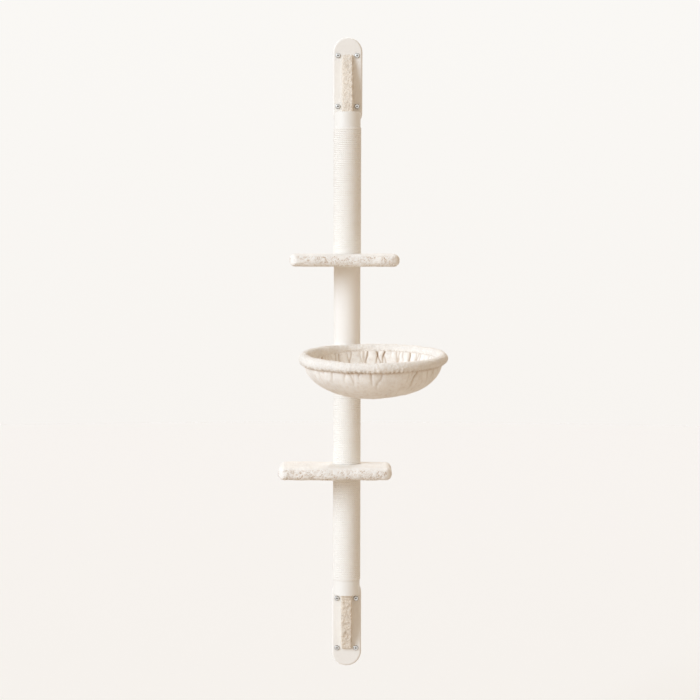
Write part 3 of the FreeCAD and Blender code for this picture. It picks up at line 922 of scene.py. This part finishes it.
def makeGusset(name, coverName, coreName, seed):
    size = gussets
    bm = evenCopy(name, coverName, size["voxel"])
    low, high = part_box(coverName)
    coreLow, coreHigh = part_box(coreName)
    upside = 1 if seed == 1 else -1
    hubEnd = low.z if upside == 1 else high.z

    def inside(co):
        return abs(co.x) < size["halfWidth"] + size["coreMargin"] and not nearFront(co)

    def nearFront(co):
        share = (co.z - coreLow.z) / (coreHigh.z - coreLow.z)
        share = 1 - share if upside == 1 else share
        front = coreHigh.y - size["coreFoot"] + (coreLow.y - coreHigh.y + size["coreFoot"]) * share
        outsideEnds = max(coreLow.z - co.z, co.z - coreHigh.z)
        return co.y < front - size["coreMargin"] or outsideEnds > size["endMargin"]

    def plushHeight(co):
        if inside(co):
            return 0.0, 0.0
        free = smoothStep(size["plateFront"] - co.y, size["pileStart"], size["pileWhole"])
        free *= smoothStep(abs(co.z - hubEnd), size["pileStart"], size["pileWhole"])
        tuft = curlHeight(co, size["tuftSize"], 0.9, seed)
        broad = noise.noise(co / size["broadSize"] + Vector((seed * 5, 0, 0)))
        edge = noise.noise(co / size["raggedSize"] + Vector((seed * 5, 3, 0)))
        patch = 0.6 + 1.2 * noise.noise(co / size["patchSize"] + Vector((seed, 8, 0)))
        # painted shade in the gaps between tufts
        return (free * (size["tuftDepth"] * (tuft - 0.5) + size["broadDepth"] * broad * 0.7
                        + size["raggedDepth"] * edge), free * size["gapTint"] * patch * (1 - tuft))

    relax(bm, inside, 1)
    pushOut(bm, plushHeight)
    bmesh.ops.recalc_face_normals(bm, faces=bm.faces)
    plush = newPiece(name, bm, "post", "short_plush", (coverName,))
    print(name, "made:", len(plush.data.polygons), "faces")


for seed, (name, (coverName, coreName)) in enumerate(gussets["pieces"].items()):
    makeGusset(name, coverName, coreName, seed + 1)


# Bowl: its places are worked out level at the origin, then moved to where the ring hangs

bowl = {
    "tilt": 4.65,  # degrees
    "sideLean": 2.0,
    "swivel": 17.0,
    "ringRadius": 196 * mm,
    "reach": 262 * mm,
    "ringLevel": 829 * mm,
}


def bowlPlacing():
    lean = Matrix.Rotation(math.radians(-bowl["sideLean"]), 4, "Y")
    tilt = Matrix.Rotation(math.radians(bowl["tilt"]), 4, "X")
    drop = bowl["ringRadius"] * math.sin(math.radians(bowl["tilt"]))
    out = Matrix.Translation((0, postAxis.y - bowl["reach"], bowl["ringLevel"] - drop))
    swing = Matrix.Rotation(math.radians(bowl["swivel"]), 4, "Z")
    return Matrix.Translation(postAxis) @ swing @ Matrix.Translation(-postAxis) @ out @ tilt @ lean


def seamDepth(turn):
    # how strongly the seam under the rim is given painted shade: more in some places, less in others
    return 0.75 + 0.9 * noise.noise(Vector((math.cos(turn) * 2.2, math.sin(turn) * 2.2, 4)))


toPlace = bowlPlacing()
toLevel = toPlace.inverted()

rim = {
    "voxel": 2.0 * mm,
    "boreRadius": 7 * mm,
    "tuftSize": 5.5 * mm,
    "tuftDepth": 1.7 * mm,
    "gapTint": 0.15,
    "seamTint": 0.60,
    "broadSize": 38 * mm,
    "broadDepth": 1.6 * mm,
    "puckers": 96,
    "puckerDepth": 1.1 * mm,
    "fullLeft": 3.0 * mm,
    "pileSpan": (8 * mm, 12 * mm),  # out from the ring
    "underSpan": (2 * mm, 11 * mm),  # down from the ring, where it puckers
    "seamSpan": (8 * mm, 13.5 * mm),  # down from the ring, where the seam is
}


def makeRim():
    size = rim
    bm = evenCopy("rimPlush", "rim_roll", size["voxel"])

    def rollPlace(co):
        level = toLevel @ co
        out = math.hypot(level.x, level.y) - bowl["ringRadius"]
        return math.atan2(level.y, level.x), out, level.z

    def inside(co):
        out, rise = rollPlace(co)[1:]
        return math.hypot(out, rise) < size["boreRadius"]

    relax(bm, inside, 2)

    def plushHeight(co):
        turn, out, rise = rollPlace(co)
        free = smoothStep(math.hypot(out, rise), *size["pileSpan"])
        if free == 0:
            return 0.0, 0.0
        tuft = curlHeight(co, size["tuftSize"], 0.9, 7)
        broad = noise.noise(co / size["broadSize"])
        under = smoothStep(-rise, *size["underSpan"])
        wander = turn + 0.04 * noise.noise(Vector((turn * 6, 1, 0)))
        pucker = math.sin(wander * size["puckers"] + 2.5 * noise.noise(Vector((turn * 14, 4, 0))))
        leftward = smoothStep(-math.cos(turn + math.radians(bowl["swivel"])), 0.2, 1.0)
        # painted shade along the seam under the roll, deeper in the pucker valleys, and in the gaps between
        # tufts
        low = smoothStep(-rise, *size["seamSpan"])
        seam = size["seamTint"] * low * (0.7 - 0.3 * pucker) * seamDepth(turn)
        return (free * (size["tuftDepth"] * (tuft - 0.5) + size["broadDepth"] * broad
                        + size["puckerDepth"] * under * pucker + size["fullLeft"] * leftward),
                free * max(size["gapTint"] * (1 - tuft), seam))

    pushOut(bm, plushHeight)
    bmesh.ops.recalc_face_normals(bm, faces=bm.faces)
    plush = newPiece("rimPlush", bm, "bowl", "bowl_plush", ("rim_roll",))
    print("rim made:", len(plush.data.polygons), "faces")


makeRim()

bracket = {
    "voxel": 2.0 * mm,
    "curlSize": 7 * mm,
    "curlDepth": 2.0 * mm,
    "gapTint": 0.2,
    "halfWidth": 60 * mm,
    "frontReach": 42 * mm,
    "backRadius": 47 * mm,
    "boardMargin": 2.5 * mm,
    "pileSpan": (3 * mm, 6 * mm),
    "postClear": 42.5 * mm,
    "postFade": 4 * mm,
}


def makeBracket():
    size = bracket
    bm = evenCopy("bracketPlush", "bracket_board_cover", size["voxel"])
    low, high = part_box("bracket_board")
    top = bowl["ringLevel"]

    def depth(co):
        # how far a place is outside the board and the bar on it, in the bracket's own straight frame
        back = Matrix.Rotation(math.radians(-bowl["swivel"]), 4, "Z")
        own = back @ (co - Vector((postAxis.x, postAxis.y, 0)))
        side, front = abs(own.x) - size["halfWidth"], -own.y - size["frontReach"]
        above = max(low.z - co.z, co.z - top)
        behind = math.hypot(own.x, own.y) - size["backRadius"] if own.y > -5 * mm else -1.0
        return max(side, front, above, behind)

    def inside(co):
        return depth(co) < size["boardMargin"]

    relax(bm, inside, 1)

    def plushHeight(co):
        fromPost = math.hypot(co.x - postAxis.x, co.y - postAxis.y)
        free = smoothStep(depth(co), *size["pileSpan"])
        free *= smoothStep(fromPost, size["postClear"], size["postClear"] + size["postFade"])
        curl = curlHeight(co, size["curlSize"], 0.8, 5)
        # painted shade in the gaps between curls
        return free * size["curlDepth"] * (curl - 0.6), free * size["gapTint"] * (1 - curl)

    pushOut(bm, plushHeight)
    bmesh.ops.recalc_face_normals(bm, faces=bm.faces)
    plush = newPiece("bracketPlush", bm, "bowl", "curly_plush", ("bracket_board_cover",))
    print("bracket cover made:", len(plush.data.polygons), "faces")


makeBracket()

bowlCloth = {
    "mouthRadius": 190 * mm,
    "depth": 105.5 * mm,
    "roundness": 2.2,
    "padding": 12 * mm,  # between the two layers before they gather
    "topDrop": 0.6 * mm,
    "around": 640,
    "rows": 50,
    "frames": 12,
    "framesQuick": 2,
    "quality": 4,
    "mass": 0.25,
    "airDamping": 3.0,
    "stretch": 20,
    "shear": 6,
    "bending": 0.08,
    "mostMove": 7.5 * mm,
    "leastGap": 1.2 * mm,  # that each layer keeps from the middle of the wall
    "fullLeft": 4.0 * mm,
    "sag": 3.0 * mm,
    "fineFur": 1.0,
    "broadFur": 1.5,
    # tint is how much painted shade a crease's depth gives
    "outer": {"side": 1, "count": 84, "depth": 4.6 * mm, "width": 0.011, "lean": 0.42, "length": 0.36,
              "slack": 0.26, "slackEnd": 0.50, "pressure": 2.6, "seam": (0.12, 0.19), "flare": 0.0,
              "tint": 0.55, "seed": 3},
    "lining": {"side": -1, "count": 84, "depth": 4.6 * mm, "width": 0.010, "lean": 0.34, "length": 0.60,
               "slack": 0.26, "slackEnd": 0.80, "pressure": 2.4, "seam": (0.02, 0.075), "flare": 5.5 * mm,
               "tint": 0.72, "seed": 11},
    "seamTint": 0.70,
}


def creaseList(layer):
    # where each gather starts on the rim, how it leans, how deep it is and how far down it runs
    def luck(index, kind):
        return noise.noise(Vector((index * 7.31 + layer["seed"], kind * 3.7, layer["seed"] * 1.9)))

    step = 2 * math.pi / layer["count"]
    return [(step * (index + 0.9 * luck(index, 1)),
             layer["lean"] * (luck(index, 2) + 0.25 * (-1) ** index),
             layer["depth"] * max(0.65 + 1.3 * luck(index, 3), 0.1),
             layer["length"] * (1 + 1.4 * luck(index, 4))) for index in range(layer["count"])]


def creaseDepth(creases, layer, turn, fall):
    total = 0.0
    wide = layer["width"] * (1 + 1.4 * fall)
    for start, lean, depth, length in creases:
        away = turn - start - lean * fall
        away -= 2 * math.pi * round(away / (2 * math.pi))
        if abs(away) > 3 * wide:
            continue
        fade = 1 - smoothStep(fall, length * 0.35, length * 1.5)
        total += depth * fade * math.exp(-abs(away / wide) ** 1.4)
    return total


def bowlShape():
    # the middle of the wall, level at the origin: each point with its outward direction
    size = bowlCloth
    depth, power = size["depth"], size["roundness"]
    first = math.asin((size["topDrop"] / depth) ** (power / 2))
    bm = bmesh.new()
    profile = []
    for index in range(size["rows"] + 1):
        lean = first + (math.pi / 2 - first) * index / size["rows"]
        reach = size["mouthRadius"] * math.cos(lean) ** (2 / power) if index < size["rows"] else 0.0
        profile.append(bm.verts.new((reach, 0, -depth * math.sin(lean) ** (2 / power))))
    line = [bm.edges.new(pair) for pair in zip(profile, profile[1:])]
    bmesh.ops.spin(bm, geom=profile + line, cent=(0, 0, 0), axis=(0, 0, 1), dvec=(0, 0, 0),
                   angle=2 * math.pi, steps=size["around"], use_merge=True, use_normal_flip=False,
                   use_duplicate=False)
    bmesh.ops.remove_doubles(bm, verts=bm.verts, dist=0.01 * mm)
    bmesh.ops.recalc_face_normals(bm, faces=bm.faces)
    if sum(face.normal.z * face.calc_area() for face in bm.faces) > 0:
        bmesh.ops.reverse_faces(bm, faces=bm.faces)
    bm.normal_update()
    return bm


def gatheredLayer(shape, layer):
    # cloth with more length than its rim has room for, held at the rim and the bottom, blown off the padding
    size = bowlCloth
    side, depth = layer["side"], size["depth"]
    mesh = bpy.data.meshes.new("layer")
    shape.to_mesh(mesh)
    piece = linked("layer", mesh)
    middles = [(vert.co.copy(), vert.normal.copy()) for vert in shape.verts]
    creases, tucks = creaseList(layer), []
    seamStart, seamEnd = layer["seam"]
    held, slack = piece.vertex_groups.new(name="held"), piece.vertex_groups.new(name="slack")
    for vert, (co, normal) in zip(mesh.vertices, middles):
        fall = min(-co.z / depth, 1.0)
        turn = math.atan2(co.y, co.x)
        wander = turn + 0.03 * noise.noise(Vector((math.cos(turn) * 6, math.sin(turn) * 6, fall * 5)))
        across = smoothStep(math.hypot(co.x, co.y), 5 * mm, 60 * mm)
        crease = creaseDepth(creases, layer, wander, fall) * across
        # painted shade in the creases and along the seam under the rim; the mottle is random tone
        seam = size["seamTint"] * (1 - smoothStep(fall, seamStart, seamEnd)) * seamDepth(turn)
        mottle = 0.30 * max(noise.noise(co * 120), 0) + 0.20 * max(noise.noise(co * 45), 0)
        tucks.append(min(max(layer["tint"] * crease / layer["depth"], seam, mottle), 0.9))
        flare = layer["flare"] * smoothStep(fall, 0.0, 0.06) * (1 - smoothStep(fall, 0.2, 0.5))
        off = size["padding"] / 2 - crease + flare
        vert.co = co + normal * off * side
        hold = max(1 - smoothStep(fall, seamStart * 0.5, seamEnd), smoothStep(fall, 0.80, 0.95))
        held.add([vert.index], hold, "REPLACE")
        slack.add([vert.index], 1 - smoothStep(fall, 0.1, layer["slackEnd"]), "REPLACE")
    cloth = piece.modifiers.new("gathering", "CLOTH")
    rules = cloth.settings
    rules.quality, rules.mass, rules.air_damping = size["quality"], size["mass"], size["airDamping"]
    rules.tension_stiffness = rules.compression_stiffness = size["stretch"]
    rules.shear_stiffness, rules.bending_stiffness = size["shear"], size["bending"]
    rules.effector_weights.gravity = 0
    rules.vertex_group_mass, rules.vertex_group_shrink = "held", "slack"
    rules.shrink_min, rules.shrink_max = 0.0, -layer["slack"]
    rules.use_pressure, rules.uniform_pressure_force = True, layer["pressure"] * side
    cloth.collision_settings.use_collision = False
    lastFrame = size["frames"]
    cloth.point_cache.frame_start, cloth.point_cache.frame_end = 1, lastFrame
    for frame in range(1, lastFrame + 1):
        bpy.context.scene.frame_set(frame)
    applied(piece)
    bpy.context.scene.frame_set(1)
    settled = bmesh.new()
    settled.from_mesh(piece.data)
    bpy.data.objects.remove(piece)
    settled.verts.ensure_lookup_table()
    least, most = size["leastGap"], size["padding"] / 2 + layer["flare"] + size["mostMove"]
    furthest = 0
    for vert, (co, normal) in zip(settled.verts, middles):
        move = vert.co - co
        off = move.dot(normal) * side
        furthest = max(furthest, abs(off))
        along = move - normal * off * side
        if along.length > size["mostMove"]:
            along *= size["mostMove"] / along.length
        vert.co = co + along + normal * min(max(off, least), most) * side
    print("layer gathered, furthest", round(furthest * 1000, 1), "mm")
    return settled, tucks


def makeBowlCloth():
    size = bowlCloth
    shape = bowlShape()
    outer, tucks = gatheredLayer(shape, size["outer"])
    lining, liningTucks = gatheredLayer(shape, size["lining"])
    bmesh.ops.reverse_faces(lining, faces=lining.faces)
    both = bpy.data.meshes.new("lining")
    lining.to_mesh(both)
    lining.free()
    shape.free()
    outer.from_mesh(both)
    bpy.data.meshes.remove(both)
    # painted shade and mottle of both layers
    tuck = outer.verts.layers.float.new("tuck")
    for vert, value in zip(outer.verts, tucks + liningTucks):
        vert[tuck] = value
    edges = [edge for edge in outer.edges if edge.is_boundary]
    bmesh.ops.bridge_loops(outer, edges=edges)
    for vert in outer.verts:
        turn = math.atan2(vert.co.y, vert.co.x)
        fall = min(-vert.co.z / size["depth"], 1.0)
        out = Vector((math.cos(turn), math.sin(turn), 0))
        leftward = smoothStep(-math.cos(turn + math.radians(bowl["swivel"])), 0.2, 1.0)
        full = size["fullLeft"] * leftward * math.exp(-((fall - 0.35) / 0.4) ** 2)
        low = smoothStep(fall, 0.3, 0.9)
        fur = mm * (size["fineFur"] * noise.noise(vert.co * 150)
                    + size["broadFur"] * noise.noise(vert.co * 55))
        fur *= smoothStep(fall, 0.12, 0.3)
        vert.co += out * (full + fur) + Vector((0, 0, size["sag"] * low * noise.noise(vert.co * 11) + fur))
    bmesh.ops.transform(outer, matrix=toPlace, verts=outer.verts)
    cloth = newPiece("bowlPlush", outer, "bowl", "bowl_cloth", ("bowl_fabric",))
    print("bowl cloth made:", len(cloth.data.polygons), "faces")


makeBowlCloth()
